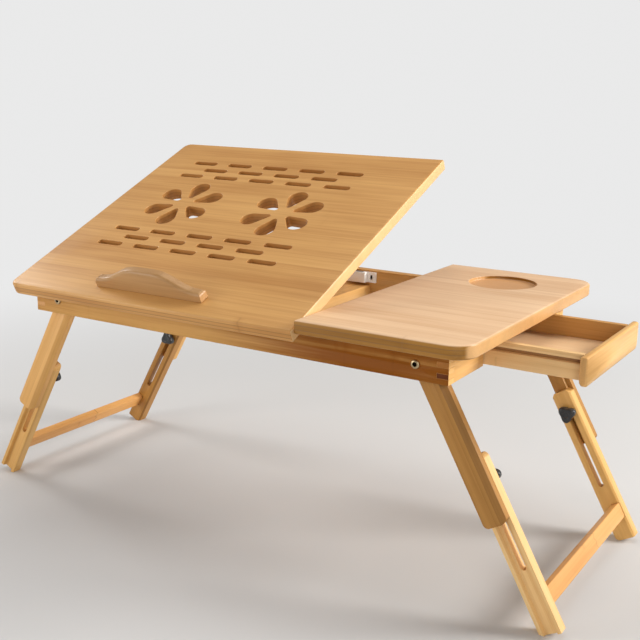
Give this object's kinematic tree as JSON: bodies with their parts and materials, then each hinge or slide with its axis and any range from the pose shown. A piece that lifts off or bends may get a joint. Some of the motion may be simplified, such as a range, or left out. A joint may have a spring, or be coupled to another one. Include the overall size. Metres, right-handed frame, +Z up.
{
  "type": "folding bamboo laptop table",
  "caption": "Low folding table of bamboo with a tilting vented panel, a fixed side board with a cup recess, a side drawer and splayed legs that slide and fold.",
  "frame": {"origin": "middle of the overall box, on the floor", "axes": "+X along the table towards the drawer, +Y away from the user, +Z up"},
  "size_m": [0.747, 0.3538, 0.4055],
  "materials": {
    "board_bamboo": "clear satin lacquer on pale caramelised bamboo",
    "panel_bamboo": "clear satin lacquer on amber bamboo",
    "rail_bamboo": "clear satin lacquer on laminated bamboo",
    "leg_bamboo": "clear satin lacquer on solid bamboo strip",
    "drawer_bamboo": "clear satin lacquer on thin bamboo board",
    "steel": "zinc plated",
    "brass": "turned",
    "black_plastic": "moulded gloss",
    "white_plastic": "moulded matte"
  },
  "bodies": {
    "frame": {"front_rail": "rail_bamboo", "back_rail": "rail_bamboo", "left_end_rail": "rail_bamboo", "right_end_rail_front": "rail_bamboo", "right_end_rail_back": "rail_bamboo", "centre_batten": "rail_bamboo", "fixed_top": "board_bamboo", "drawer_runner_near": "rail_bamboo", "drawer_runner_far": "rail_bamboo", "catch_body": "white_plastic", "catch_magnet": "steel", "hinge_left_rail_leaf": "steel", "hinge_right_rail_leaf": "steel", "hinge_left_pin": "steel", "hinge_right_pin": "steel", "prop_block_left": "rail_bamboo", "prop_block_right": "rail_bamboo", "prop_rod": "steel", "left_front_pivot_bolt": "steel", "left_back_pivot_bolt": "steel", "right_front_pivot_bolt": "steel", "right_back_pivot_bolt": "steel"},
    "panel": {"tilt_panel": "panel_bamboo", "stop_bar": "panel_bamboo", "ratchet_left": "rail_bamboo", "ratchet_right": "rail_bamboo", "strike_plate": "steel", "hinge_left_panel_leaf": "steel", "hinge_right_panel_leaf": "steel"},
    "prop": {"prop_arm_left": "rail_bamboo", "prop_arm_right": "rail_bamboo", "prop_dowel": "rail_bamboo"},
    "drawer": {"drawer_front": "drawer_bamboo", "drawer_side_near": "drawer_bamboo", "drawer_side_far": "drawer_bamboo", "drawer_back": "drawer_bamboo", "drawer_floor": "drawer_bamboo"},
    "left_upper_legs": {"left_front_upper_leg": "leg_bamboo", "left_front_insert_nut": "brass", "left_back_upper_leg": "leg_bamboo", "left_back_insert_nut": "brass"},
    "left_lower_legs": {"left_front_lower_leg": "leg_bamboo", "left_back_lower_leg": "leg_bamboo", "left_crossbar": "leg_bamboo"},
    "left_front_knob": {"left_front_knob": "black_plastic", "left_front_knob_stud": "steel"},
    "left_back_knob": {"left_back_knob": "black_plastic", "left_back_knob_stud": "steel"},
    "right_upper_legs": {"right_front_upper_leg": "leg_bamboo", "right_front_insert_nut": "brass", "right_back_upper_leg": "leg_bamboo", "right_back_insert_nut": "brass"},
    "right_lower_legs": {"right_front_lower_leg": "leg_bamboo", "right_back_lower_leg": "leg_bamboo", "right_crossbar": "leg_bamboo"},
    "right_front_knob": {"right_front_knob": "black_plastic", "right_front_knob_stud": "steel"},
    "right_back_knob": {"right_back_knob": "black_plastic", "right_back_knob_stud": "steel"}
  },
  "joints": [
    {"name": "left_leg_fold", "type": "hinge", "parent": "frame", "child": "left_upper_legs", "pos_m": [-0.22793, 0, 0.24684], "axis": [0, 1, 0], "range_deg": [-111.1, 0]},
    {"name": "left_leg_extend", "type": "slide", "parent": "left_upper_legs", "child": "left_lower_legs", "axis": [-0.4863, 0, -0.8738], "range_m": [-0.087, 0]},
    {"name": "left_front_knob_turn", "type": "hinge", "parent": "left_upper_legs", "child": "left_front_knob", "pos_m": [-0.28921, -0.107, 0.13675], "axis": [0, 1, 0], "range_deg": [0, 270]},
    {"name": "left_back_knob_turn", "type": "hinge", "parent": "left_upper_legs", "child": "left_back_knob", "pos_m": [-0.28921, 0.107, 0.13675], "axis": [0, -1, 0], "range_deg": [0, 270]},
    {"name": "right_leg_fold", "type": "hinge", "parent": "frame", "child": "right_upper_legs", "pos_m": [0.22793, 0, 0.24684], "axis": [0, -1, 0], "range_deg": [-111.1, 0]},
    {"name": "right_leg_extend", "type": "slide", "parent": "right_upper_legs", "child": "right_lower_legs", "axis": [0.4863, 0, -0.8738], "range_m": [-0.087, 0]},
    {"name": "right_front_knob_turn", "type": "hinge", "parent": "right_upper_legs", "child": "right_front_knob", "pos_m": [0.28921, -0.107, 0.13675], "axis": [0, 1, 0], "range_deg": [0, 270]},
    {"name": "right_back_knob_turn", "type": "hinge", "parent": "right_upper_legs", "child": "right_back_knob", "pos_m": [0.28921, 0.107, 0.13675], "axis": [0, -1, 0], "range_deg": [0, 270]},
    {"name": "panel_tilt", "type": "hinge", "parent": "frame", "child": "panel", "pos_m": [0, -0.14974, 0.26104], "axis": [1, 0, 0], "range_deg": [-23.5, 12]},
    {"name": "prop_swing", "type": "hinge", "parent": "frame", "child": "prop", "pos_m": [0, -0.02974, 0.25154], "axis": [1, 0, 0], "range_deg": [-47, 24]},
    {"name": "drawer_slide", "type": "slide", "parent": "frame", "child": "drawer", "axis": [1, 0, 0], "range_m": [-0.097, 0.04]}
  ],
  "couplings": [
    {"joint": "prop_swing", "follows": "panel_tilt", "ratio": 2}
  ]
}
